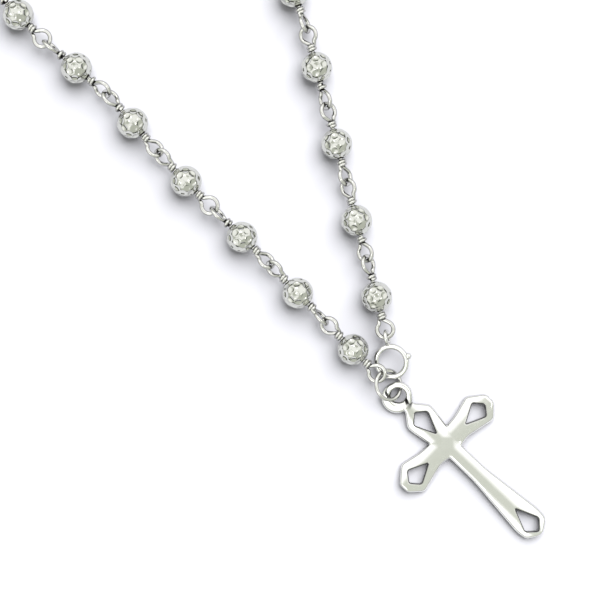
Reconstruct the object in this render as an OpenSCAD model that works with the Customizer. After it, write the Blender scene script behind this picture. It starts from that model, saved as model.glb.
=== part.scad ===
// Rosary bracelet of silver: round dimpled beads, each on its own wire with a wrapped eye at both
// ends, a jump ring, a pierced cross with a cast ring on top, and a plain ring clasp.
// Millimetres. X runs along the straight strand towards the foot of the cross, Y across it and Z up.
// The origin is under the middle of the cross, on the surface that the bracelet lies on.

/* [Beads] */
// Diameter of a bead
bead_d = 4; // [3.6:0.1:4.6]
// Diameter of the hole drilled through a bead
bore_d = 0.8; // [0.7:0.05:1]
// Width across one dimple cut in a bead
dimple_w = 0.88; // [0.7:0.02:0.9]
// Hollow of a dimple below a flat cut of the same width
dimple_hollow = 0.07; // [0.02:0.01:0.1]
// Dimples round the middle of a bead
middle_dimples = 13; // [9:1:13]
// Dimples in each of the two rows beside the middle one
side_dimples = 11; // [8:1:11]
// Dimples in each of the two rows nearest the holes
end_dimples = 7; // [5:1:7]

/* [Wire links] */
// Thickness of the wire through a bead
wire_d = 0.47; // [0.4:0.01:0.5]
// Outer diameter of the eye at each end
eye_od = 2.53; // [2.4:0.01:3]
// Length of the wrapping between a bead and its eye
wrap_len = 1.015; // [0.9:0.005:1.6]
// Outer diameter of the wrapping
wrap_od = 1.3; // [1.1:0.05:1.4]
// Space between a bead and the wrapping beside it
bead_gap = 0.06; // [0.04:0.02:0.2]
// Space left between two linked pieces
link_gap = 0.1; // [0.08:0.01:0.12]

/* [Loop] */
// Beads on the straight side, from the jump ring outwards
straight_beads = 7; // [5:1:8]
// Beads round the rest of the loop
round_beads = 11; // [10:1:13]

/* [Jump ring] */
// Outer diameter of the jump ring
ring_od = 4.31; // [4.2:0.01:4.6]
// Thickness of the jump ring's wire
ring_wire = 0.47; // [0.4:0.01:0.5]

/* [Cross] */
// Distance from the middle of the cross to the end of its foot
foot_len = 16.9; // [14:0.1:22]
// Distance from the middle of the cross to its neck
top_len = 6.7; // [6.4:0.1:9]
// Distance from the middle of the cross to the end of each arm
arm_len = 8.1; // [7:0.1:11]
// Width of the flared ends
flare_w = 4.3; // [3.8:0.1:5]
// Width of the stem just under the arms
stem_w = 2.3; // [2:0.1:2.8]
// Width of the arms beside the stem
arm_w = 2.8; // [2.6:0.1:3.4]
// Width of the neck between the cross and its ring
neck_w = 1.6; // [1.4:0.05:2]
// Thickness of the cross in its middle
cross_t = 1.3; // [1:0.05:1.6]
// Fall of the rounded front at the edge of a flared end
crown_drop = 0.45; // [0.2:0.05:0.6]
// Width of the pierced kites
kite_w = 2.5; // [2:0.05:2.7]

/* [Ring on the cross] */
// Outer diameter of the cast ring
bail_od = 4.08; // [4:0.02:4.4]
// Width of its band
bail_band = 1.08; // [0.9:0.02:1.1]
// Thickness of its band
bail_t = 0.84; // [0.7:0.02:0.84]

/* [Clasp] */
// Outer diameter of the clasp's ring
clasp_od = 4.7; // [4.6:0.05:5.2]
// Thickness of the clasp's ring
clasp_t = 0.72; // [0.6:0.02:0.76]
// Outer diameter of the clasp's own eye
clasp_eye_od = 2.2; // [2.1:0.05:2.5]
// Thickness of that eye's wire
clasp_eye_wire = 0.5; // [0.4:0.02:0.52]
// Diameter of the thumb knob on the clasp's ring
knob_d = 0.9; // [0.6:0.05:1.2]

/* [Hidden] */
$fn = 96;

// Sideways place of the joints along the straight side, chosen by hand from the way it lies
SWAY = [0, 0, 0.2, 0.05, 0.2, 0.9, 0, 0];
// Roll about the strand of the two eyes that meet at each joint, the one nearer the ring first
ROLLS = [
    [-30, 72], [-48, 46], [72, -8], [-45, 38], [50, -46], [78, -4],
    [60, -60], [-60, 60], [60, -60], [-60, 60], [62, -58], [-66, 46],
    [72, -20], [-66, 24], [58, -36], [-50, 42], [40, -50]
];
// Roll of the eye on the jump ring and of the eye on the clasp
FIRST_ROLL = -10.8;
LAST_ROLL = 2.4;
// How much the jump ring rises for each millimetre along X and along Y, and so the others
RING_LEAN = [-0.307, -0.575];
BAIL_LEAN = [0, 0.26];
CLASP_LEAN = [0.082, 0.31];
// Height of the middle of the jump ring, of the cross's ring and of the clasp
ring_z = 1.515;
bail_z = 0.939;
clasp_z = 1.393;
// Direction from the jump ring to the clasp and from the clasp to the last bead, from X towards Y
clasp_way = 128.1;
last_way = 145.5;
// How far each piece has slid in from being drawn tight
bail_slack = 0.675;
eye_slack = 0.211;
clasp_slack = 0.17;
clasp_eye_slack = 0.233;
// Share of the round side that bends fully, and the share over which the bend then dies away
full_bend = 0.2;
fading_bend = 0.5;
// Turn of each bead about its wire, from one bead to the next
bead_turn = 37;
// Space between the cross's neck and the outside of its ring
neck_len = 0.1;
// Turn of the cross about its middle, from the straight strand towards Y
cross_turn = 1.3;
// Place of the middle of the cast ring's outside from the middle of its hole
BAIL_SHIFT = [0.1, -0.43, 0];
// How much thinner its outside is than the edge of its hole
bail_thinner = 0.04;
// Where a kite is widest, as a share of its length from its inner point
kite_shoulder = 0.72;
// Steps along a rounded corner, and the most of an edge that it may take
corner_steps = 4;
corner_most = 0.48;

silver = "#c9cbc6";
bright_silver = "#dcdedb";

bead_n = straight_beads + round_beads;
bead_r = bead_d / 2;
rest_z = bead_r;
eye_r = (eye_od - wire_d) / 2;
eye_x = bead_r + bead_gap + wrap_len + eye_od / 2;
joint_x = eye_x + eye_r - (wire_d + link_gap) / 2;
pitch = 2 * joint_x;
ring_r = (ring_od - ring_wire) / 2;
bail_r = (bail_od - bail_band) / 2;
clasp_r = (clasp_od - clasp_t) / 2;
clasp_eye_r = (clasp_eye_od - clasp_eye_wire) / 2;

function way(a) = [cos(a), sin(a), 0];
function unit(v) = v / norm(v);
function bearing(v) = atan2(v.y, v.x);
function leaned(v, lean) = unit([v.x, v.y, v.x * lean[0] + v.y * lean[1]]);
function total(v, n) = n <= 0 ? [0, 0, 0] : v[n - 1] + total(v, n - 1);

// The ring hangs in the cross's ring, and the first eye and the clasp hang in the ring
bail_x = -(top_len + neck_len + bail_od / 2);
ring_x = bail_x - (ring_r + bail_r - (ring_wire + bail_band) / 2 - link_gap - bail_slack);
first_eye_x = ring_x - (ring_r + eye_r - (ring_wire + wire_d) / 2 - link_gap - eye_slack);
clasp_reach = ring_r + clasp_r - (ring_wire + clasp_t) / 2 - link_gap - clasp_slack;
clasp_arm = clasp_r + (clasp_t + clasp_eye_od - clasp_eye_wire) / 2;
last_eye_reach = clasp_eye_r + eye_r - (clasp_eye_wire + wire_d) / 2 - link_gap - clasp_eye_slack;
clasp_at = [ring_x, 0, clasp_z] + clasp_reach * way(clasp_way);
clasp_eye_at = clasp_at + clasp_arm * leaned(way(last_way), CLASP_LEAN);

// Joints of the straight side, from the ring outwards, each a pitch from the one before
function sway(k) = k < len(SWAY) ? SWAY[k] : 0;
function sway_step(k) = sway(k) - sway(k - 1);
function straight_x(k) = k == 0
    ? first_eye_x + joint_x - eye_x
    : straight_x(k - 1) - sqrt(pow(pitch, 2) - pow(sway_step(k), 2));
function straight_joint(k) = [straight_x(k), sway(k), 0];

// The round side goes from the last of these to the clasp, and its bend is found by halving
round_start = straight_joint(straight_beads);
round_end = [clasp_eye_at.x, clasp_eye_at.y, 0] + (last_eye_reach - joint_x + eye_x) * way(last_way);
function bend_share(t) = t < full_bend ? 1 : max(0, 1 - (t - full_bend) / fading_bend);
function bends_before(i) = i <= 0 ? 0 : bends_before(i - 1) + bend_share(i / round_beads);
function round_steps(bend) = [for (i = [0:round_beads - 1]) pitch * way(-bend * bends_before(i))];
function round_span(bend) = norm(total(round_steps(bend), round_beads));
function find_bend(low, high, tries) = tries == 0 ? (low + high) / 2
    : round_span((low + high) / 2) > norm(round_end - round_start)
        ? find_bend((low + high) / 2, high, tries - 1)
        : find_bend(low, (low + high) / 2, tries - 1);
bend = find_bend(0, 60, 40);
round_turn = bearing(round_end - round_start) - bearing(total(round_steps(bend), round_beads));
function round_joint(i) = i == 0 ? round_start
    : round_joint(i - 1) + pitch * way(round_turn - bend * bends_before(i - 1));

JOINTS = concat(
    [for (k = [0:straight_beads]) straight_joint(k)],
    [for (i = [1:round_beads]) round_joint(i)]
);
function bead_at(k) = (JOINTS[k - 1] + JOINTS[k]) / 2 + [0, 0, rest_z];
function bead_way(k) = bearing(JOINTS[k] - JOINTS[k - 1]);
function near_roll(k) = k == 1 ? FIRST_ROLL : ROLLS[(k - 2) % len(ROLLS)][1];
function far_roll(k) = k == bead_n ? LAST_ROLL : ROLLS[(k - 1) % len(ROLLS)][0];

module ring(r, wire) rotate_extrude() translate([r, 0]) circle(d = wire);

module on_strand(k) translate(bead_at(k)) rotate([0, 0, bead_way(k)]) children();

// Puts a piece at a place, with its X along a direction and its Z square to a leaning plane
module leaning(at, a, lean) {
    x = leaned(way(a), lean);
    z = unit([-lean[0], -lean[1], 1]);
    y = cross(z, x);
    multmatrix([[x.x, y.x, z.x, at.x], [x.y, y.y, z.y, at.y], [x.z, y.z, z.z, at.z], [0, 0, 0, 1]])
        children();
}

// A dimple is the bite of a large ball, as wide as dimple_w where it meets the bead
dimple_r = (pow(dimple_w / 2, 2) + pow(dimple_hollow, 2)) / (2 * dimple_hollow);
dimple_reach = sqrt(pow(bead_r, 2) - pow(dimple_w / 2, 2)) - dimple_hollow + dimple_r;
row_angle = 2 * asin(dimple_w / bead_d) + 1.5;

module dimple_row(count, row, start) {
    for (i = [0:count - 1])
        rotate([start + i * 360 / count, 0, 0]) rotate([0, row, 0])
            translate([0, 0, dimple_reach]) sphere(r = dimple_r);
}

module bead(k) {
    color(silver) on_strand(k) rotate([k * bead_turn, 0, 0]) difference() {
        sphere(d = bead_d);
        rotate([0, 90, 0]) cylinder(d = bore_d, h = bead_d + 1, center = true);
        dimple_row(middle_dimples, 0, 0);
        dimple_row(side_dimples, row_angle, 180 / middle_dimples);
        dimple_row(side_dimples, -row_angle, 0);
        dimple_row(end_dimples, 2 * row_angle, 0);
        dimple_row(end_dimples, -2 * row_angle, 180 / end_dimples);
    }
}

wraps = floor(wrap_len / wire_d);
wrap_step = (wrap_len - wire_d) / (wraps - 1);

module eye_and_wrapping(roll) {
    wrap_x = bead_r + bead_gap;
    translate([wrap_x, 0, 0]) rotate([0, 90, 0]) cylinder(d = wrap_od - wire_d, h = wrap_len + wire_d / 4);
    for (i = [0:wraps - 1])
        translate([wrap_x + wire_d / 2 + i * wrap_step, 0, 0]) rotate([0, 90, 0])
            ring((wrap_od - wire_d) / 2, wire_d);
    translate([eye_x, 0, 0]) rotate([roll, 0, 0]) ring(eye_r, wire_d);
}

module wire_link(k) {
    color(bright_silver) on_strand(k) {
        rotate([0, 90, 0]) cylinder(d = wire_d * 0.98, h = 2 * (eye_x - eye_r), center = true);
        eye_and_wrapping(far_roll(k));
        rotate([0, 0, 180]) eye_and_wrapping(-near_roll(k));
    }
}

module jump_ring() {
    color(bright_silver) leaning([ring_x, 0, ring_z], 0, RING_LEAN) ring(ring_r, ring_wire);
}

// A corner is replaced by a curve that starts and ends this far from it, or just short of halfway
function corner(a, v, b, cut) = let (
        fit = min(cut, corner_most * norm(a - v), corner_most * norm(b - v)),
        p = v + fit * unit(a - v),
        q = v + fit * unit(b - v)
    ) [for (i = [0:corner_steps]) let (t = i / corner_steps)
        pow(1 - t, 2) * p + 2 * t * (1 - t) * v + pow(t, 2) * q];
function place(row) = [row[0], row[1]];
function rounded(rows) = [for (i = [0:len(rows) - 1])
    each corner(
        place(rows[(i + len(rows) - 1) % len(rows)]), place(rows[i]),
        place(rows[(i + 1) % len(rows)]), rows[i][2]
    )];
function mirrored(rows) = concat(rows, [for (i = [len(rows) - 1:-1:0]) [rows[i][0], -rows[i][1], rows[i][2]]]);

// Half of the cross's outline, from the neck to the foot: place along, place across, corner cut
function cross_half() = [
    [-(top_len + neck_len + bail_band / 2), neck_w / 2, 0.3],
    [-top_len, neck_w / 2, 0.3],
    [-0.75 * top_len, flare_w / 2, 0.7],
    [-0.6 * top_len, 0.48 * flare_w, 0.4],
    [-0.57 * arm_w, 0.38 * flare_w, 0.12],
    [-0.6 * arm_w, 0.4 * arm_len, 0.8],
    [-0.56 * flare_w, 0.75 * arm_len, 0.5],
    [-0.17 * flare_w, arm_len, 0.4],
    [0.165 * flare_w, arm_len, 0.4],
    [0.545 * flare_w, 0.8 * arm_len, 0.5],
    [0.48 * arm_w, 0.31 * arm_len, 0.8],
    [0.56 * arm_w, stem_w / 2, 0.15],
    [0.35 * foot_len, stem_w / 2, 1.5],
    [0.86 * foot_len, 0.49 * flare_w, 1],
    [0.945 * foot_len, 0.44 * flare_w, 0.5],
    [foot_len, 0.1 * flare_w, 0.4],
];

module kite(near, far) {
    wide = near + kite_shoulder * (far - near);
    translate([0, 0, -1]) linear_extrude(cross_t + 2)
        polygon(rounded([[near, 0, 0.25], [wide, kite_w / 2, 0.35], [far, 0, 0.3], [wide, -kite_w / 2, 0.35]]));
}

module crown_bar(a) {
    r = (pow(flare_w / 2, 2) + pow(crown_drop, 2)) / (2 * crown_drop);
    rotate([0, 0, a]) translate([0, 0, cross_t - r]) rotate([0, 90, 0])
        cylinder(r = r, h = 2 * foot_len + 2, center = true);
}

// The cast ring has round edges, and its outside lies a little off the middle of its hole
module cast_ring() {
    hole_edge = bail_r - bail_band / 2 + bail_t / 2;
    rim_t = bail_t - bail_thinner;
    rim_r = bail_od / 2 - rim_t / 2;
    leaning([bail_x, 0, bail_z], 0, BAIL_LEAN) {
        ring(hole_edge, bail_t);
        difference() {
            translate(BAIL_SHIFT) rotate_extrude() {
                translate([rim_r, 0]) circle(d = rim_t);
                translate([0.4, -rim_t / 2]) square([rim_r - 0.4, rim_t]);
            }
            cylinder(r = hole_edge, h = 3 * bail_t, center = true);
        }
    }
}

module cross_with_ring() {
    color(silver) {
        rotate([0, 0, cross_turn]) difference() {
            intersection() {
                linear_extrude(cross_t) polygon(rounded(mirrored(cross_half())));
                union() {
                    crown_bar(0);
                    crown_bar(90);
                }
            }
            kite(0.72 * foot_len, 0.97 * foot_len);
            kite(-0.28 * top_len, -0.86 * top_len);
            for (side = [-1, 1]) rotate([0, 0, side * 90]) kite(0.43 * arm_len, 0.87 * arm_len);
        }
        cast_ring();
    }
}

module clasp() {
    color(bright_silver) leaning(clasp_at, last_way, CLASP_LEAN) {
        ring(clasp_r, clasp_t);
        translate([clasp_arm, 0, 0]) rotate([90, 0, 0]) ring(clasp_eye_r, clasp_eye_wire);
        rotate([0, 0, -80]) translate([clasp_od / 2, 0, 0]) sphere(d = knob_d);
    }
}

cross_with_ring();  // cross
jump_ring();
clasp();
for (k = [1:bead_n]) {
    bead(k);
    wire_link(k);
}
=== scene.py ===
"""Looks of a silver rosary bracelet.

Dimpled beads on wound wire links, a jump ring, a pierced cross with its cast ring, and a plain ring
clasp. Each is shaped here, finer than in the CAD model, and takes the place of its node there.
Lengths are in millimetres, which MM turns to metres, and angles in degrees, unless a line says so.
"""

import math

import bpy
import numpy as np
from mathutils import Matrix, Vector
from mathutils.geometry import delaunay_2d_cdt


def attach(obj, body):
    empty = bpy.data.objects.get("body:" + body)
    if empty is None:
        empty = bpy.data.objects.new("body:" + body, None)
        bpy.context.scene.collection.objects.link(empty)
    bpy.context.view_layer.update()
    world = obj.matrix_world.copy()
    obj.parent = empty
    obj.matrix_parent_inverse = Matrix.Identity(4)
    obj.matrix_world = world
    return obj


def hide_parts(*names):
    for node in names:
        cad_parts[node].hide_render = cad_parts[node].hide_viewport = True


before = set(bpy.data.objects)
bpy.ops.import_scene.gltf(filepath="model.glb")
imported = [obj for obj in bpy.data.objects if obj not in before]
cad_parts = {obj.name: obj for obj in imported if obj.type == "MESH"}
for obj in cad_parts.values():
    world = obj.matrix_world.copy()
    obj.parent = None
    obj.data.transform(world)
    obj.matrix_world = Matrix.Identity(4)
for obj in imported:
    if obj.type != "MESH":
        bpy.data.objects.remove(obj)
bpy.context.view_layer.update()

MM = 0.001

# Beads. Each row of dimples is how many, its place from the middle row, and the angle of its first
BEAD_R, BORE_R = 2.0, 0.4
DIMPLE_W, DIMPLE_HOLLOW = 0.88, 0.07
DIMPLE_ROWS = [(13, 0, 0), (11, 1, 180 / 13), (11, -1, 0), (7, 2, 0), (7, -2, 180 / 7)]
ROW_WALL = 1.5  # angle left between the rims of two rows
RIM_SNAP = 0.02  # radians from a rim within which a point is moved onto it
BEAD_TURN = 37  # each bead is turned this much further on its wire than the one before

# Wire links, from the bead's middle out. The wire, its eyes and its wrapping are a little wider
# here than in the part's source, as wide as they show in the photo
WIRE_R, EYE_R, EYE_X = 0.275, 1.055, 4.34
WRAP_START, WRAP_END, WRAP_R = 2.06, 3.075, 0.68
WRAP_TURNS, WRAP_FIRST_ANGLE, WOUND_WIRE_R = 1.45, 190, 0.22
BENDS = 15  # places that shape the eye, and as many that shape the wrapping
CURVE_STEP = 0.14  # distance between two points along the wire
GROOVE_R, GROOVE_FADE = 0.58, 0.09  # painted shade between the turns starts here, and is full this deep
REST_Z = 2.0  # height of the wires over the surface

# The joints between the links, from the jump ring round the loop to the clasp, seen from above
JOINTS = [
    (-12.134, 0), (-22.304, 0), (-32.472, 0.2), (-42.641, 0.05), (-52.81, 0.2), (-62.956, 0.9),
    (-73.086, 0), (-83.256, 0), (-91.02, 6.568), (-93.062, 16.531), (-88.506, 25.624),
    (-79.766, 30.824), (-69.636, 31.721), (-59.755, 29.314), (-50.575, 24.936),
    (-41.799, 19.797), (-33.024, 14.657), (-24.248, 9.517), (-15.472, 4.378),
]
# Roll of the two eyes that meet at each inner joint, the one nearer the jump ring first
ROLLS = [
    (-30, 72), (-48, 46), (72, -8), (-45, 38), (50, -46), (78, -4),
    (60, -60), (-60, 60), (60, -60), (-60, 60), (62, -58), (-66, 46),
    (72, -20), (-66, 24), (58, -36), (-50, 42), (40, -50),
]
FIRST_ROLL, LAST_ROLL = -10.8, 2.4  # of the eye on the jump ring and of the eye on the clasp
NEAR_ROLLS = [FIRST_ROLL] + [pair[1] for pair in ROLLS]
FAR_ROLLS = [pair[0] for pair in ROLLS] + [LAST_ROLL]

# The pieces at the jump ring: the middle, the turn about the upright, the rise along X and along Y,
# then the ring's own sizes. The cast ring's outside is shifted off the middle of its hole
JUMP_RING = dict(at=(-10.71, 0, 1.515), way=0, lean=(-0.307, -0.575), r=1.92, wire_r=0.265)
BAIL = dict(
    at=(-8.84, 0, 0.939), way=0, lean=(0, 0.26), r=1.5, band=1.08, thick=0.84, shift=(0.1, -0.43)
)
CLASP = dict(at=(-12.589, 2.396, 1.393), way=145.5, lean=(0.082, 0.31), r=1.99, wire_r=0.36)
CLASP_EYE = dict(out=3.2, r=0.85, wire_r=0.25)
KNOB_R, KNOB_ANGLE = 0.45, -80
MELT_SIZE = 0.05  # the clasp's parts are melted into one skin with faces of this size

# Crease across the cast ring at the neck, in the ring's own plane
CREASE_FROM, CREASE_TO = np.array([0.78, 0.42]), np.array([2.05, -0.05])
CREASE_DEPTH, CREASE_W = 0.28, 0.24
UPPER_FADE = 0.2  # height over the ring's middle at which the crease is full

# The cross lies with its foot to +X. Its front is a crown over each bar, and its back is flat
CROSS_T, CROWN_DROP, FLARE_W = 1.3, 0.45, 4.3
FOOT, TOP, ARM, STEM_W, ARM_W, NECK_W, NECK_LEN = 16.9, 6.7, 8.1, 2.3, 2.8, 1.6, 0.1
CROSS_TURN = 1.3
EDGE_R, KITE_EDGE_R, BACK_EDGE_R = 0.34, 0.18, 0.12
RIDGE_BLEND = 0.12  # width over which the two crowns run into each other
# Pierced kites: the point nearer the middle, the far point, and the way they lie
KITE_W, KITE_SHOULDER = 2.5, 0.72
KITES = [
    (0.72 * FOOT, 0.97 * FOOT, 0), (0.28 * TOP, 0.86 * TOP, 180),
    (0.43 * ARM, 0.87 * ARM, 90), (0.43 * ARM, 0.87 * ARM, -90),
]
# Points of the cross's skin: how far apart they are along the outlines and over the middle, and how
# far in from an outline the rows lie that carry the round of its edge
OUTLINE_STEP, KITE_STEP, GRID_STEP = 0.12, 0.1, 0.15
EDGE_ROWS = [0.012, 0.045, 0.1, 0.17, 0.25, 0.345]
KITE_ROWS = [0.01, 0.035, 0.08, 0.13, 0.19]
GRID_OFF_EDGE, GRID_OFF_KITE, TOO_NEAR = 0.41, 0.26, 0.008
CROWDED = 0.93  # a point goes if another stretch is nearer than this share of its row's offset
TRIANGLE = 0.866  # height of a triangle of the grid over its side
BATCH = 2000  # points that are compared with an outline at a time

# Painted shade from 0 to 1 at the kites' upper and lower rims, in the crease and in the seam at the
# neck, then how near to each it starts, and over what width it grows to its full
KITE_SHADE, LOWER_KITE_SHADE, CREASE_SHADE, SEAM_SHADE = 0.93, 0.6, 0.97, 0.9
AT_KITE, IN_CREASE, IN_SEAM = (0.18, 0.1), (0.27, 0.1), (0.24, 0.16)
SEAM_FADE = 0.8  # width over which the seam goes out across the neck


def linear(code):
    """A hex colour as seen on a screen, turned to the linear values that a shader takes."""
    seen = [int(code[i:i + 2], 16) / 255 for i in (1, 3, 5)]
    return (*(c / 12.92 if c <= 0.04045 else ((c + 0.055) / 1.055) ** 2.4 for c in seen), 1.0)


def add_node(tree, kind, inputs=None, **settings):
    """Adds a node with its settings; an input is a value, or the output that feeds it."""
    made = tree.nodes.new(kind)
    for name, value in settings.items():
        setattr(made, name, value)
    for key, value in (inputs or {}).items():
        if isinstance(value, bpy.types.NodeSocket):
            tree.links.new(value, made.inputs[key])
        else:
            made.inputs[key].default_value = value
    return made


def deselect_all():
    bpy.ops.object.select_all(action="DESELECT")


def select_only(piece):
    deselect_all()
    piece.select_set(True)
    bpy.context.view_layer.objects.active = piece


def smooth(piece, angle):
    """Shades a piece smooth, and leaves the edges sharper than the angle crisp."""
    select_only(piece)
    bpy.ops.object.shade_smooth_by_angle(angle=math.radians(angle))


def place(piece, matrix):
    """Puts a piece where it belongs and keeps its object at the origin."""
    select_only(piece)
    piece.matrix_world = matrix @ piece.matrix_world
    bpy.ops.object.transform_apply(location=True, rotation=True, scale=True)


def copied(piece, name):
    """A copy with a mesh of its own."""
    made = piece.copy()
    made.data = piece.data.copy()
    made.name = made.data.name = name
    bpy.context.collection.objects.link(made)
    return made


def vertex_values(piece, what):
    """The places or the normals of a piece's points, one row each."""
    values = np.empty(len(piece.data.vertices) * 3)
    piece.data.vertices.foreach_get(what, values)
    return values.reshape(-1, 3)


def move_points(piece, points):
    """Moves a piece's points to these places."""
    piece.data.vertices.foreach_set("co", (points * MM).ravel())
    piece.data.update()


def within(gap, reach, fade):
    """1 well within the reach, 0 outside it, and between the two over the fade."""
    return np.clip((reach - gap) / fade, 0, 1)


def painted_shade(piece, amount):
    """Writes how much painted shade each point gets, where it hasn't more already."""
    known = piece.data.attributes.get("painted_shade")
    before = np.zeros(len(amount))
    if known is None:
        known = piece.data.attributes.new("painted_shade", "FLOAT", "POINT")
    else:
        known.data.foreach_get("value", before)
    known.data.foreach_set("value", np.maximum(before, amount))


def paint_side_shade(piece, most, start):
    """Painted shade on faces that face up less than start, growing to most where they face sideways
    or down.
    """
    up = vertex_values(piece, "normal")[:, 2]
    painted_shade(piece, most * within(up, start, start))


def leaning(ring):
    """Frame of a piece that leans: X along its way, Z square to the leaning plane."""
    turn, rise = math.radians(ring["way"]), ring["lean"]
    climb = math.cos(turn) * rise[0] + math.sin(turn) * rise[1]
    x = Vector((math.cos(turn), math.sin(turn), climb)).normalized()
    z = Vector((-rise[0], -rise[1], 1)).normalized()
    axes = Matrix((x, z.cross(x), z)).transposed().to_4x4()
    return Matrix.Translation(Vector(ring["at"]) * MM) @ axes


def on_strand(k):
    """Frame of a link and its bead: midway between its two joints, X away from the jump ring."""
    a, b = Vector(JOINTS[k - 1]), Vector(JOINTS[k])
    middle, way = (a + b) / 2, b - a
    at = Matrix.Translation(Vector((middle.x, middle.y, REST_Z)) * MM)
    return at @ Matrix.Rotation(math.atan2(way.y, way.x), 4, "Z")


def silver(name, tint, shine, wave, mark):
    """Sterling silver, a white metal that mirrors what is round it, with near-black painted shade
    mixed in.

    Tint is the range of its colour and shine that of its roughness. Wave is the length and height
    of the soft unevenness that the making leaves, and mark the spacing and depth of the scratches.
    """
    made = bpy.data.materials.new(name)
    made.use_nodes = True
    tree = made.node_tree
    tree.nodes.clear()
    out = add_node(tree, "ShaderNodeOutputMaterial")
    where = add_node(tree, "ShaderNodeTexCoord").outputs["Object"]
    # Cloudy change of tone over 2.2 mm, from air and skin
    cloud = add_node(
        tree, "ShaderNodeTexNoise", {"Vector": where, "Scale": 1 / (2.2 * MM), "Detail": 3.0}
    )
    metal = add_node(
        tree, "ShaderNodeMix",
        {"Factor": cloud.outputs["Fac"], "A": linear(tint[0]), "B": linear(tint[1])},
        data_type="RGBA",
    )
    # Painted shade, nearly black, mixed in as much as the piece's own attribute says
    shade_amount = add_node(tree, "ShaderNodeAttribute", attribute_name="painted_shade")
    colour = add_node(
        tree, "ShaderNodeMix",
        {"Factor": shade_amount.outputs["Fac"], "A": metal.outputs["Result"], "B": linear("#1C1B1A")},
        data_type="RGBA",
    )
    # Smears of touch about 0.7 mm wide, which change the sharpness of what it mirrors
    smear = add_node(
        tree, "ShaderNodeTexNoise", {"Vector": where, "Scale": 1 / (0.7 * MM), "Detail": 4.0}
    )
    rough = add_node(
        tree, "ShaderNodeMapRange",
        {"Value": smear.outputs["Fac"], "From Min": 0.3, "From Max": 0.7,
         "To Min": shine[0], "To Max": shine[1]},
    )
    waves = add_node(
        tree, "ShaderNodeTexNoise", {"Vector": where, "Scale": 1 / (wave[0] * MM), "Detail": 1.0}
    )
    uneven = add_node(
        tree, "ShaderNodeBump",
        {"Height": waves.outputs["Fac"], "Strength": 1.0, "Distance": wave[1] * MM},
    )
    # Scratches run askew to the piece and are several times as long as they are wide. Real ones are
    # some hundredths of a millimetre apart, too fine to show, so they are drawn coarser
    askew = add_node(
        tree, "ShaderNodeMapping",
        {"Vector": where, "Rotation": (0.3, 0.2, 0.9), "Scale": (1.0, 7.0, 3.0)},
    )
    scratches = add_node(
        tree, "ShaderNodeTexNoise",
        {"Vector": askew.outputs["Vector"], "Scale": 1 / (mark[0] * MM), "Detail": 2.0,
         "Roughness": 0.7},
    )
    scratched = add_node(
        tree, "ShaderNodeBump",
        {"Height": scratches.outputs["Fac"], "Strength": 1.0, "Distance": mark[1] * MM,
         "Normal": uneven.outputs["Normal"]},
    )
    shader = add_node(
        tree, "ShaderNodeBsdfPrincipled",
        {"Base Color": colour.outputs["Result"], "Metallic": 1.0,
         "Roughness": rough.outputs["Result"], "Normal": scratched.outputs["Normal"]},
    )
    tree.links.new(shader.outputs["BSDF"], out.inputs["Surface"])
    return made


def dimple_ways():
    """Direction of each dimple from the bead's middle."""
    row_angle = 2 * math.asin(DIMPLE_W / (2 * BEAD_R)) + math.radians(ROW_WALL)
    ways = []
    for count, row, first in DIMPLE_ROWS:
        tilted = Vector((math.sin(row * row_angle), 0, math.cos(row * row_angle)))
        for i in range(count):
            ways.append(Matrix.Rotation(math.radians(first + i * 360 / count), 3, "X") @ tilted)
    return np.array(ways)


def press_dimples(bead):
    """Moves the ball's points in to the floor of each dimple.

    Points close to a rim go onto it first, so that it stays crisp.
    """
    half = DIMPLE_W / 2
    tool_r = (half ** 2 + DIMPLE_HOLLOW ** 2) / (2 * DIMPLE_HOLLOW)
    tool_out = math.sqrt(BEAD_R ** 2 - half ** 2) - DIMPLE_HOLLOW + tool_r
    rim = math.asin(half / BEAD_R)
    dirs = vertex_values(bead, "co")
    dirs /= np.linalg.norm(dirs, axis=1)[:, None]
    ways = dimple_ways()
    for way in ways:
        toward = np.clip(dirs @ way, -1, 1)
        near = np.abs(np.arccos(toward) - rim) < RIM_SNAP
        side = dirs[near] - toward[near, None] * way
        side /= np.linalg.norm(side, axis=1)[:, None]
        dirs[near] = math.cos(rim) * way + math.sin(rim) * side
    radius = np.full(len(dirs), BEAD_R)
    for way in ways:
        toward = dirs @ way
        pressed = toward >= math.cos(rim) - 1e-9
        toward = toward[pressed]
        floor_r = tool_out * toward - np.sqrt(tool_r ** 2 - tool_out ** 2 * (1 - toward ** 2))
        radius[pressed] = np.minimum(radius[pressed], floor_r)
    move_points(bead, dirs * radius[:, None])


def model_bead():
    """A ball with its dimples, drilled along X."""
    deselect_all()
    bpy.ops.mesh.primitive_ico_sphere_add(subdivisions=6, radius=BEAD_R * MM)
    bead = bpy.context.object
    press_dimples(bead)
    deselect_all()
    bpy.ops.mesh.primitive_cylinder_add(
        vertices=40, radius=BORE_R * MM, depth=3 * BEAD_R * MM, rotation=(0, math.pi / 2, 0)
    )
    drill = bpy.context.object
    select_only(bead)
    cut = bead.modifiers.new("bore", "BOOLEAN")
    cut.operation, cut.object, cut.solver = "DIFFERENCE", drill, "EXACT"
    bpy.ops.object.modifier_apply(modifier=cut.name)
    bpy.data.objects.remove(drill)
    smooth(bead, 60)
    return bead


def through(points, step):
    """A smooth line through the points, with a point about every step."""
    points = np.array(points, float)
    ends = np.vstack([2 * points[0] - points[1], points, 2 * points[-1] - points[-2]])
    line = []
    for i in range(1, len(ends) - 2):
        a, b, c, d = ends[i - 1:i + 3]
        count = max(1, round(np.linalg.norm(c - b) / step))
        for t in np.arange(count) / count:
            line.append(0.5 * (2 * b + (c - a) * t + (2 * a - 5 * b + 4 * c - d) * t ** 2
                               + (3 * b - a - 3 * c + d) * t ** 3))
    line.append(points[-1])
    return np.array(line)


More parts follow.
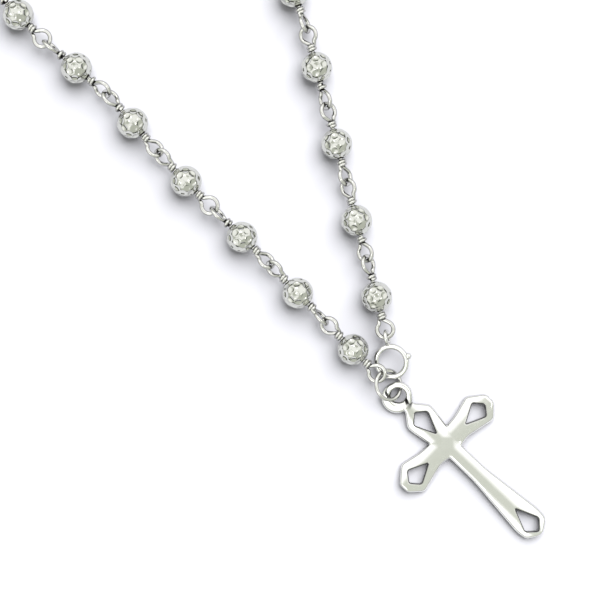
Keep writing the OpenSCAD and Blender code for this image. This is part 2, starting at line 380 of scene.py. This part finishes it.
def half_wire():
    """One end of a link from the bead's middle out, and the wire's radius at each of its points.

    The wire leaves the bead, bends round into a teardrop eye and winds back to the bead.
    """
    neck = WRAP_END - 0.02
    open_half = math.degrees(math.acos(EYE_R / (EYE_X - neck)))
    points = [(0, 0, 0), (1, 0, 0), (2, 0, 0), (2.7, 0, 0), (neck - 0.06, 0.05, 0)]
    for degrees in np.linspace(180 - open_half, -180 + open_half, BENDS):
        a = math.radians(degrees)
        points.append((EYE_X + EYE_R * math.cos(a), EYE_R * math.sin(a), 0))
    coil_r = WRAP_R - WOUND_WIRE_R
    first_x, last_x = WRAP_END - WOUND_WIRE_R, WRAP_START + WOUND_WIRE_R
    for t in np.linspace(0, 1, BENDS):
        a = math.radians(WRAP_FIRST_ANGLE) - t * WRAP_TURNS * 2 * math.pi
        points.append(
            (first_x + t * (last_x - first_x), coil_r * math.cos(a), coil_r * math.sin(a))
        )
    line = through(points, CURVE_STEP)
    off_eye = np.hypot(line[:, 0] - EYE_X, line[:, 1])
    past_eye = np.arange(len(line)) > len(line) * 0.5
    wound = past_eye & (off_eye > EYE_R + 0.25)
    return line, np.where(wound, WOUND_WIRE_R, WIRE_R)


def darken_grooves(link):
    """Painted shade in the grooves between the turns."""
    points = vertex_values(link, "co") / MM
    along, out = np.abs(points[:, 0]), np.hypot(points[:, 1], points[:, 2])
    wound = (along > WRAP_START - 0.05) & (along < WRAP_END + 0.02)
    painted_shade(link, np.where(wound, within(out, GROOVE_R, GROOVE_FADE), 0))


def model_link(k):
    """The wire of one bead: eye and wrapping at both ends, each end rolled as it lies."""
    line, width = half_wire()
    far = Matrix.Rotation(math.radians(FAR_ROLLS[k - 1]), 3, "X")
    about = Matrix.Rotation(math.pi, 3, "Z")
    near = about @ Matrix.Rotation(math.radians(-NEAR_ROLLS[k - 1]), 3, "X")
    path = [near @ Vector(p) for p in line[:0:-1]] + [far @ Vector(p) for p in line]
    radii = list(width[:0:-1]) + list(width)
    curve = bpy.data.curves.new(f"wound_link_{k}", "CURVE")
    curve.dimensions = "3D"
    curve.bevel_depth = WIRE_R * MM
    curve.bevel_resolution = 6
    curve.use_fill_caps = True
    spline = curve.splines.new("POLY")
    spline.points.add(len(path) - 1)
    for point, at, r in zip(spline.points, path, radii):
        point.co = (*(at * MM), 1)
        point.radius = r / WIRE_R
    link = bpy.data.objects.new(f"wound_link_{k}", curve)
    bpy.context.collection.objects.link(link)
    select_only(link)
    bpy.ops.object.convert(target="MESH")
    link = bpy.context.object
    darken_grooves(link)
    place(link, on_strand(k))
    smooth(link, 50)
    return link


def spun_ring(name, r, section, steps=112):
    """A ring whose section, in its own plane, is spun round the upright."""
    deselect_all()
    bpy.ops.mesh.primitive_circle_add(vertices=len(section), radius=MM)
    ring = bpy.context.object
    ring.name = name
    for vertex, (across, up) in zip(ring.data.vertices, section):
        vertex.co = ((r + across) * MM, 0, up * MM)
    bpy.ops.object.mode_set(mode="EDIT")
    bpy.ops.mesh.select_all(action="SELECT")
    bpy.ops.mesh.spin(steps=steps, angle=2 * math.pi, center=(0, 0, 0), axis=(0, 0, 1))
    bpy.ops.mesh.select_all(action="SELECT")
    bpy.ops.mesh.remove_doubles(threshold=0.002 * MM)
    bpy.ops.mesh.normals_make_consistent(inside=False)
    bpy.ops.object.mode_set(mode="OBJECT")
    return ring


def round_section(r):
    """Section of a wire."""
    angles = np.linspace(0, 2 * math.pi, 24, endpoint=False)
    return [(r * math.cos(t), r * math.sin(t)) for t in angles]


def band_section(band, thick):
    """Section of a cast band: flat in the middle of its width and full round at both edges."""
    flat, off_middle = (band - thick) / 2, 0.05
    return [
        (thick / 2 * math.cos(t) + math.copysign(flat, math.cos(t)), thick / 2 * math.sin(t))
        for t in np.linspace(off_middle, 2 * math.pi + off_middle, 32, endpoint=False)
    ]


def model_jump_ring():
    ring = spun_ring("soldered_jump_ring", JUMP_RING["r"], round_section(JUMP_RING["wire_r"]))
    place(ring, leaning(JUMP_RING))
    smooth(ring, 50)
    return ring


def model_clasp():
    """A plain ring with an upright eye and a thumb knob, melted into one casting."""
    body = spun_ring("plain_ring_clasp", CLASP["r"], round_section(CLASP["wire_r"]))
    eye = spun_ring("clasp_eye", CLASP_EYE["r"], round_section(CLASP_EYE["wire_r"]))
    upright = Matrix.Rotation(math.pi / 2, 4, "X")
    place(eye, Matrix.Translation((CLASP_EYE["out"] * MM, 0, 0)) @ upright)
    deselect_all()
    a = math.radians(KNOB_ANGLE)
    out = CLASP["r"] + CLASP["wire_r"]
    bpy.ops.mesh.primitive_uv_sphere_add(
        segments=40, ring_count=24, radius=KNOB_R * MM,
        location=(out * math.cos(a) * MM, out * math.sin(a) * MM, 0),
    )
    for piece in (body, eye):
        piece.select_set(True)
    bpy.context.view_layer.objects.active = body
    bpy.ops.object.join()
    melt = body.modifiers.new("melt", "REMESH")
    melt.mode, melt.voxel_size = "VOXEL", MELT_SIZE * MM
    ease = body.modifiers.new("ease", "SMOOTH")
    ease.factor, ease.iterations = 0.5, 6
    for modifier in ("melt", "ease"):
        bpy.ops.object.modifier_apply(modifier=modifier)
    place(body, leaning(CLASP))
    smooth(body, 60)
    return body


def rounded(rows, steps=8, most=0.48):
    """An outline whose corners are curves; each row is a place and how far its curve reaches.

    A curve takes the share most of a side or less, so that it never meets the next one.
    """
    line = []
    for i, (x, y, cut) in enumerate(rows):
        corner = Vector((x, y))
        back = Vector(rows[i - 1][:2]) - corner
        ahead = Vector(rows[(i + 1) % len(rows)][:2]) - corner
        fit = min(cut, most * back.length, most * ahead.length)
        p, q = corner + fit * back.normalized(), corner + fit * ahead.normalized()
        for j in range(steps + 1):
            t = j / steps
            line.append((1 - t) ** 2 * p + 2 * t * (1 - t) * corner + t ** 2 * q)
    return np.array(line)


def evenly(line, step):
    """The same closed outline with a point at most every step."""
    made = []
    for i, p in enumerate(line):
        q = line[(i + 1) % len(line)]
        length = np.linalg.norm(q - p)
        if length < 1e-6:
            continue
        count = max(1, math.ceil(length / step))
        made.extend(p + (q - p) * t for t in np.arange(count) / count)
    return np.array(made)


def cross_outline():
    """Outline of the cross, from the neck down one side and up the other."""
    half = [
        (-(TOP + NECK_LEN + BAIL["band"] / 2), NECK_W / 2, 0.3),
        (-TOP, NECK_W / 2, 0.3),
        (-0.75 * TOP, FLARE_W / 2, 0.7),
        (-0.6 * TOP, 0.48 * FLARE_W, 0.4),
        (-0.57 * ARM_W, 0.38 * FLARE_W, 0.12),
        (-0.6 * ARM_W, 0.4 * ARM, 0.8),
        (-0.56 * FLARE_W, 0.75 * ARM, 0.5),
        (-0.17 * FLARE_W, ARM, 0.4),
        (0.165 * FLARE_W, ARM, 0.4),
        (0.545 * FLARE_W, 0.8 * ARM, 0.5),
        (0.48 * ARM_W, 0.31 * ARM, 0.8),
        (0.56 * ARM_W, STEM_W / 2, 0.15),
        (0.35 * FOOT, STEM_W / 2, 1.5),
        (0.86 * FOOT, 0.49 * FLARE_W, 1),
        (0.945 * FOOT, 0.44 * FLARE_W, 0.5),
        (FOOT, 0.1 * FLARE_W, 0.4),
    ]
    return rounded(half + [(x, -y, cut) for x, y, cut in reversed(half)])


def kite(near, far, turn):
    """Outline of one pierced kite, its corners a little round."""
    wide = near + KITE_SHOULDER * (far - near)
    line = rounded([
        (near, 0, 0.25), (wide, KITE_W / 2, 0.35), (far, 0, 0.3), (wide, -KITE_W / 2, 0.35),
    ])
    c, s = math.cos(math.radians(turn)), math.sin(math.radians(turn))
    return line @ np.array([[c, s], [-s, c]])


def running(line, way):
    """The outline, made to run anticlockwise for a way of 1 and clockwise for -1."""
    x, y = line[:, 0], line[:, 1]
    area = np.sum(x * np.roll(y, -1) - np.roll(x, -1) * y)
    return line if area * way > 0 else line[::-1]


def distance(points, line):
    """Distance from each point to a closed outline."""
    a, b = line, np.roll(line, -1, axis=0)
    way = b - a
    size = np.einsum("ij,ij->i", way, way)
    best = np.empty(len(points))
    for start in range(0, len(points), BATCH):
        p = points[start:start + BATCH, None, :]
        t = np.clip(np.einsum("nij,ij->ni", p - a, way) / size, 0, 1)
        gap = np.linalg.norm(p - (a + t[..., None] * way), axis=2)
        best[start:start + BATCH] = gap.min(axis=1)
    return best


def inside(points, line):
    """Whether each point lies inside a closed outline.

    A level line from such a point crosses the outline an odd number of times.
    """
    a, b = line, np.roll(line, -1, axis=0)
    found = np.zeros(len(points), bool)
    for start in range(0, len(points), BATCH):
        p = points[start:start + BATCH]
        passed = (a[None, :, 1] > p[:, None, 1]) != (b[None, :, 1] > p[:, None, 1])
        with np.errstate(divide="ignore", invalid="ignore"):
            x = (b[:, 0] - a[:, 0]) * (p[:, None, 1] - a[:, 1]) / (b[:, 1] - a[:, 1]) + a[:, 0]
        found[start:start + BATCH] = (passed & (p[:, None, 0] < x)).sum(axis=1) % 2 == 1
    return found


def on_plate(points, outer, holes):
    """Whether each point lies on the plate and in none of its holes."""
    return inside(points, outer) & ~np.any([inside(points, hole) for hole in holes], axis=0)


def nearest(points, holes):
    """Distance from each point to the nearest hole's outline."""
    return np.min([distance(points, hole) for hole in holes], axis=0)


def inset_points(line, offsets):
    """Rows of points on an outline's left, left out where they crowd another stretch of it."""
    ahead = np.roll(line, -1, axis=0) - np.roll(line, 1, axis=0)
    ahead /= np.linalg.norm(ahead, axis=1)[:, None]
    left = np.stack([-ahead[:, 1], ahead[:, 0]], axis=1)
    made = []
    for offset in offsets:
        row = line + left * offset
        made.append(row[distance(row, line) > CROWDED * offset])
    return made


def flat_cross(outer, holes):
    """The cross as a flat net of triangles, finest beside its outlines: points and faces."""
    rows = inset_points(outer, EDGE_ROWS)
    for hole in holes:
        rows += inset_points(hole, KITE_ROWS)
    xs = np.arange(outer[:, 0].min(), outer[:, 0].max(), GRID_STEP)
    ys = np.arange(outer[:, 1].min(), outer[:, 1].max(), GRID_STEP * TRIANGLE)
    grid = np.array([(x + j % 2 * GRID_STEP / 2, y) for j, y in enumerate(ys) for x in xs])
    loose = np.vstack(rows + [grid])
    from_edge, from_kite = distance(loose, outer), nearest(loose, holes)
    in_grid = np.arange(len(loose)) >= sum(len(row) for row in rows)
    keep = on_plate(loose, outer, holes) & (from_edge > TOO_NEAR) & (from_kite > TOO_NEAR)
    keep &= ~in_grid | ((from_edge > GRID_OFF_EDGE) & (from_kite > GRID_OFF_KITE))
    edges, start = [], 0
    for line in [outer] + holes:
        n = len(line)
        edges += [(start + i, start + (i + 1) % n) for i in range(n)]
        start += n
    flat = np.vstack([outer] + holes + [loose[keep]])
    made = delaunay_2d_cdt([Vector(p) for p in flat], edges, [], 0, 1e-5)
    points = np.array([tuple(v) for v in made[0]])
    faces = np.array([face for face in made[2] if len(face) == 3])
    return points, faces[on_plate(points[faces].mean(axis=1), outer, holes)]


def fillet(gap, r):
    """How far a rounded edge falls at a distance from the outline."""
    near = np.clip(r - gap, 0, r)
    return r - np.sqrt(np.maximum(r ** 2 - near ** 2, 0))


def front_height(points, from_edge, from_kite):
    """Height of the front: a crown over each bar, both run together, with rounded edges."""
    crown_r = ((FLARE_W / 2) ** 2 + CROWN_DROP ** 2) / (2 * CROWN_DROP)

    def crown(off):
        return CROSS_T - crown_r + np.sqrt(np.maximum(crown_r ** 2 - off ** 2, 0))

    along, across = crown(points[:, 1]), crown(points[:, 0])
    mixed = np.clip(0.5 + (along - across) / (2 * RIDGE_BLEND), 0, 1)
    top = across * (1 - mixed) + along * mixed + RIDGE_BLEND * mixed * (1 - mixed)
    return np.minimum(top, CROSS_T) - fillet(from_edge, EDGE_R) - fillet(from_kite, KITE_EDGE_R)


def closed_plate(name, points, faces, top, bottom):
    """A solid between two heights over the same flat net, with walls at its outlines."""
    n = len(points)
    corners = np.vstack([np.column_stack([points, top]), np.column_stack([points, bottom])]) * MM
    b, c = (points[faces[:, i]] - points[faces[:, 0]] for i in (1, 2))
    clockwise = b[:, 0] * c[:, 1] - b[:, 1] * c[:, 0] <= 0
    faces[clockwise] = faces[clockwise][:, ::-1]
    sides = {edge for a, b, c in faces.tolist() for edge in ((a, b), (b, c), (c, a))}
    rim = sorted(edge for edge in sides if edge[::-1] not in sides)
    walls = [(b, a, a + n, b + n) for a, b in rim]
    mesh = bpy.data.meshes.new(name)
    mesh.from_pydata(corners.tolist(), [], faces.tolist() + (faces[:, ::-1] + n).tolist() + walls)
    mesh.update()
    body = bpy.data.objects.new(name, mesh)
    bpy.context.collection.objects.link(body)
    select_only(body)
    bpy.ops.object.mode_set(mode="EDIT")
    bpy.ops.mesh.select_all(action="SELECT")
    bpy.ops.mesh.delete_loose()
    bpy.ops.mesh.select_all(action="SELECT")
    bpy.ops.mesh.normals_make_consistent(inside=False)
    bpy.ops.object.mode_set(mode="OBJECT")
    return body


def model_bail():
    """The cast ring: its outside lies off the middle of its hole, and a crease crosses it."""
    section = band_section(BAIL["band"], BAIL["thick"])
    ring = spun_ring("cast_ring", BAIL["r"], section, steps=160)
    points = vertex_values(ring, "co") / MM
    out = np.hypot(points[:, 0], points[:, 1])
    way = points[:, :2] / out[:, None]
    shift = np.array(BAIL["shift"])
    inner, outer = BAIL["r"] - BAIL["band"] / 2, BAIL["r"] + BAIL["band"] / 2
    along = way @ shift
    reach = along + np.sqrt(outer ** 2 - shift @ shift + along ** 2)
    reach = np.maximum(reach, inner + BAIL["thick"])
    points[:, :2] = way * (inner + (out - inner) * (reach - inner) / (outer - inner))[:, None]
    span = CREASE_TO - CREASE_FROM
    t = np.clip((points[:, :2] - CREASE_FROM) @ span / (span @ span), 0, 1)
    off = np.linalg.norm(points[:, :2] - CREASE_FROM - t[:, None] * span, axis=1)
    upper = np.clip(points[:, 2] / UPPER_FADE, 0, 1)
    points[:, 2] -= CREASE_DEPTH * upper * np.clip(1 - off / CREASE_W, 0, 1)
    move_points(ring, points)
    # Painted shade in the crease, on the ring's upper side
    painted_shade(ring, CREASE_SHADE * upper * within(off, *IN_CREASE))
    place(ring, leaning(BAIL))
    return ring


def model_cross():
    """The casting: a crowned front, a flat back, four pierced kites, and the cast ring.

    Crown, rounded edges and piercings run into one skin, so it is a net of triangles laid between
    its outlines and raised, which keeps the edges cleaner than cuts would.
    """
    outer = running(evenly(cross_outline(), OUTLINE_STEP), 1)
    holes = [running(evenly(kite(*row), KITE_STEP), -1) for row in KITES]
    points, faces = flat_cross(outer, holes)
    from_edge, from_kite = distance(points, outer), nearest(points, holes)
    top = front_height(points, from_edge, from_kite)
    bottom = fillet(np.minimum(from_edge, from_kite), BACK_EDGE_R)
    body = closed_plate("pierced_cross", points, faces, top, bottom)
    # Painted shade on the kites' rims, for the dark lines round each piercing; their lower rims are
    # seen in less light
    rims = within(from_kite, *AT_KITE)
    painted_shade(body, np.concatenate([KITE_SHADE * rims, LOWER_KITE_SHADE * rims]))
    # Painted shade in the seam where the plate meets its ring, on the half of the neck that the
    # crease crosses
    ring_x, ring_y = BAIL["at"][0] + BAIL["shift"][0], BAIL["shift"][1]
    ring_r = BAIL["r"] + BAIL["band"] / 2
    from_ring = np.hypot(points[:, 0] - ring_x, points[:, 1] - ring_y) - ring_r
    crease_half = np.clip(0.5 + points[:, 1] / SEAM_FADE, 0, 1)
    seam = SEAM_SHADE * crease_half * within(from_ring, *IN_SEAM)
    painted_shade(body, np.concatenate([seam, seam]))
    place(body, Matrix.Rotation(math.radians(CROSS_TURN), 4, "Z"))
    bail = model_bail()
    select_only(body)
    bail.select_set(True)
    bpy.ops.object.join()
    smooth(body, 45)
    return body


# Cross, cast ring and clasp: sterling silver, cast and then polished on a felt wheel. The eye sees
# the whitest and smoothest silver of the three, and in what it mirrors the slow waves of 1.3 mm
# that the wheel leaves. Its scratches are drawn 0.09 mm apart, coarser than they are.
cast_silver = silver(
    "polished_cast_silver", tint=("#F4F4F1", "#ECEDE8"), shine=(0.07, 0.13),
    wave=(1.3, 0.004), mark=(0.09, 0.00012),
)
# Beads: sterling silver, turned and cut with a ball-ended diamond tool. Each hollow is a small
# sharp mirror with its own bright spot and a dark rim, so the bead as a whole looks greyer than the
# cross. Waves of 0.5 mm are the tool's chatter, and its scratches are drawn 0.07 mm apart, coarser
# than they are.
bead_silver = silver(
    "cut_bead_silver", tint=("#D4D5CE", "#C9CAC3"), shine=(0.03, 0.06),
    wave=(0.5, 0.0008), mark=(0.07, 0.00008),
)
# Links and jump ring: sterling silver wire, drawn bright through a die and bent with smooth pliers.
# The eye sees a thin line of light along it, slightly broken by pulling marks. Waves of 0.35 mm are
# the dents of the pliers, and the pulling marks are drawn 0.08 mm apart, coarser than they are.
wire_silver = silver(
    "drawn_silver_wire", tint=("#E0E0DC", "#D3D3CE"), shine=(0.06, 0.11),
    wave=(0.35, 0.0006), mark=(0.08, 0.00015),
)


def finished(piece, node, material, side_shade=0.75, start=0.65):
    """Gives a piece its finish and puts it in its node's place; the last two numbers set the
    painted shade on its sides.
    """
    paint_side_shade(piece, side_shade, start)
    piece.data.materials.clear()
    piece.data.materials.append(material)
    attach(piece, "root")
    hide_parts(node)


master = model_bead()
for k in range(1, len(JOINTS)):
    bead = copied(master, f"dimpled_bead_{k}")
    place(bead, on_strand(k) @ Matrix.Rotation(math.radians(k * BEAD_TURN), 4, "X"))
    finished(bead, f"bead_{k}", bead_silver, side_shade=0.55, start=0.32)
    link = model_link(k)
    finished(link, f"wire_link_{k}", wire_silver, side_shade=0.82, start=0.8)
bpy.data.objects.remove(master)
jump_ring = model_jump_ring()
finished(jump_ring, "jump_ring", wire_silver, side_shade=0.82, start=0.75)
finished(model_cross(), "cross", cast_silver)
finished(model_clasp(), "clasp", cast_silver)

# The ground is matt white paper: no shine of its own, only soft shadows. It is toned down here,
# because the bank of light brings it back to plain white and leaves the shadows their depth.
PAPER_METRES = 6
deselect_all()
bpy.ops.mesh.primitive_plane_add(size=PAPER_METRES)
floor = bpy.context.object
floor.name = "floor"
paper = bpy.data.materials.new("white_paper")
paper.use_nodes = True
paper.node_tree.nodes.clear()
sheet = add_node(paper.node_tree, "ShaderNodeBsdfDiffuse", {"Color": linear("#8F8F93")})
add_node(paper.node_tree, "ShaderNodeOutputMaterial", {"Surface": sheet.outputs[0]})
floor.data.materials.append(paper)

# What the silver mirrors. Each light is a direction, and the angles from it at which the light is
# full and gone; the hem is the tent's tone by height, from the ground past a dark gap to the cloth
SOFTBOXES = [((0, 0.64, 0.77), 25, 41), ((-0.64, 0.05, 0.77), 23, 40), ((0, -0.69, 0.72), 17, 31)]
LAMPS = [((-0.55, 0.35, 0.8), 4, 8), ((0.45, 0.2, 0.87), 3, 7), ((0.12, -0.5, 0.86), 3, 7)]
SOFTBOX_LIGHT, LAMP_LIGHT = (1.35, 1.35, 1.35, 1.0), (3.0, 3.0, 3.0, 1.0)
HEM = [(0.0, "#A8A8AE"), (0.02, "#2A2A2C"), (0.12, "#222224"), (0.22, "#FFFFFF")]
# The bank of light above the picture: its direction, how wide it is seen, and its strength
BANK_WAY, BANK_WIDTH, BANK_STRENGTH = (-0.155, 0.575, 0.8), 64, 11.4


def covered(tree, way, lights):
    """Share of each direction that the lights cover."""
    most = None
    for at, full, gone in lights:
        aim = tuple(Vector(at).normalized())
        near = add_node(tree, "ShaderNodeVectorMath", {0: way, 1: aim}, operation="DOT_PRODUCT")
        share = add_node(
            tree, "ShaderNodeMapRange",
            {"Value": near.outputs["Value"], "From Min": math.cos(math.radians(gone)),
             "From Max": math.cos(math.radians(full)), "To Min": 0.0, "To Max": 1.0},
            interpolation_type="SMOOTHSTEP",
        ).outputs["Result"]
        if most is not None:
            share = add_node(
                tree, "ShaderNodeMath", {0: most, 1: share}, operation="MAXIMUM"
            ).outputs[0]
        most = share
    return most


def studio():
    """A grey-green tent with three white softboxes and three small lamps; the camera sees white."""
    world = bpy.data.worlds.new("studio")
    bpy.context.scene.world = world
    world.use_nodes = True
    tree = world.node_tree
    tree.nodes.clear()
    out = add_node(tree, "ShaderNodeOutputWorld")
    way = add_node(tree, "ShaderNodeTexCoord").outputs["Generated"]
    cloth = add_node(
        tree, "ShaderNodeMix",
        {"Factor": covered(tree, way, SOFTBOXES), "A": linear("#DCDFD6"), "B": SOFTBOX_LIGHT},
        data_type="RGBA",
    )
    lit = add_node(
        tree, "ShaderNodeMix",
        {"Factor": covered(tree, way, LAMPS), "A": cloth.outputs["Result"], "B": LAMP_LIGHT},
        data_type="RGBA", blend_type="ADD",
    )
    height = add_node(tree, "ShaderNodeSeparateXYZ", {0: way}).outputs["Z"]
    hem = add_node(tree, "ShaderNodeValToRGB", {"Fac": height})
    stops = hem.color_ramp.elements
    for stop, (at, tone) in zip((stops[0], stops[1]), (HEM[0], HEM[-1])):
        stop.position, stop.color = at, linear(tone)
    for at, tone in HEM[1:-1]:
        stops.new(at).color = linear(tone)
    room = add_node(
        tree, "ShaderNodeMix",
        {"Factor": 1.0, "A": lit.outputs["Result"], "B": hem.outputs["Color"]},
        data_type="RGBA", blend_type="MULTIPLY",
    )
    tent = add_node(
        tree, "ShaderNodeBackground", {"Color": room.outputs["Result"], "Strength": 1.0}
    )
    white = add_node(
        tree, "ShaderNodeBackground", {"Color": linear("#FFFFFF"), "Strength": 1.0}
    )
    seen = add_node(tree, "ShaderNodeLightPath").outputs["Is Camera Ray"]
    both = add_node(tree, "ShaderNodeMixShader", {0: seen, 1: tent.outputs[0], 2: white.outputs[0]})
    tree.links.new(both.outputs[0], out.inputs["Surface"])


def wide_bank():
    """A wide far bank of light above the picture and to its right, which no silver mirrors."""
    data = bpy.data.lights.new("bank", "SUN")
    data.angle, data.energy = math.radians(BANK_WIDTH), BANK_STRENGTH
    made = bpy.data.objects.new("bank", data)
    made.rotation_euler = Vector(BANK_WAY).to_track_quat("Z", "Y").to_euler()
    made.visible_glossy = False
    bpy.context.collection.objects.link(made)


# The photo's view: straight down, with the strand from corner to corner. The width is what the
# camera sees across the height at which the beads and the cross lie on average
VIEW_WIDTH, VIEW_MIDDLE, VIEW_HEIGHT, VIEW_TURN = 77.42, (-26.55, -0.32, 0), 1.5, 45
LENS, SENSOR = 100, 36


def aim_camera():
    data = bpy.data.cameras.new("camera")
    data.lens = LENS
    data.clip_start = 0.005
    camera = bpy.data.objects.new("camera", data)
    bpy.context.collection.objects.link(camera)
    up = VIEW_HEIGHT + VIEW_WIDTH * LENS / SENSOR
    camera.location = (Vector(VIEW_MIDDLE) + Vector((0, 0, up))) * MM
    camera.rotation_euler = (0, 0, math.radians(VIEW_TURN))
    bpy.context.scene.camera = camera


studio()
wide_bank()
aim_camera()

scene = bpy.context.scene
scene.view_settings.view_transform = "Standard"
scene.view_settings.look = "None"
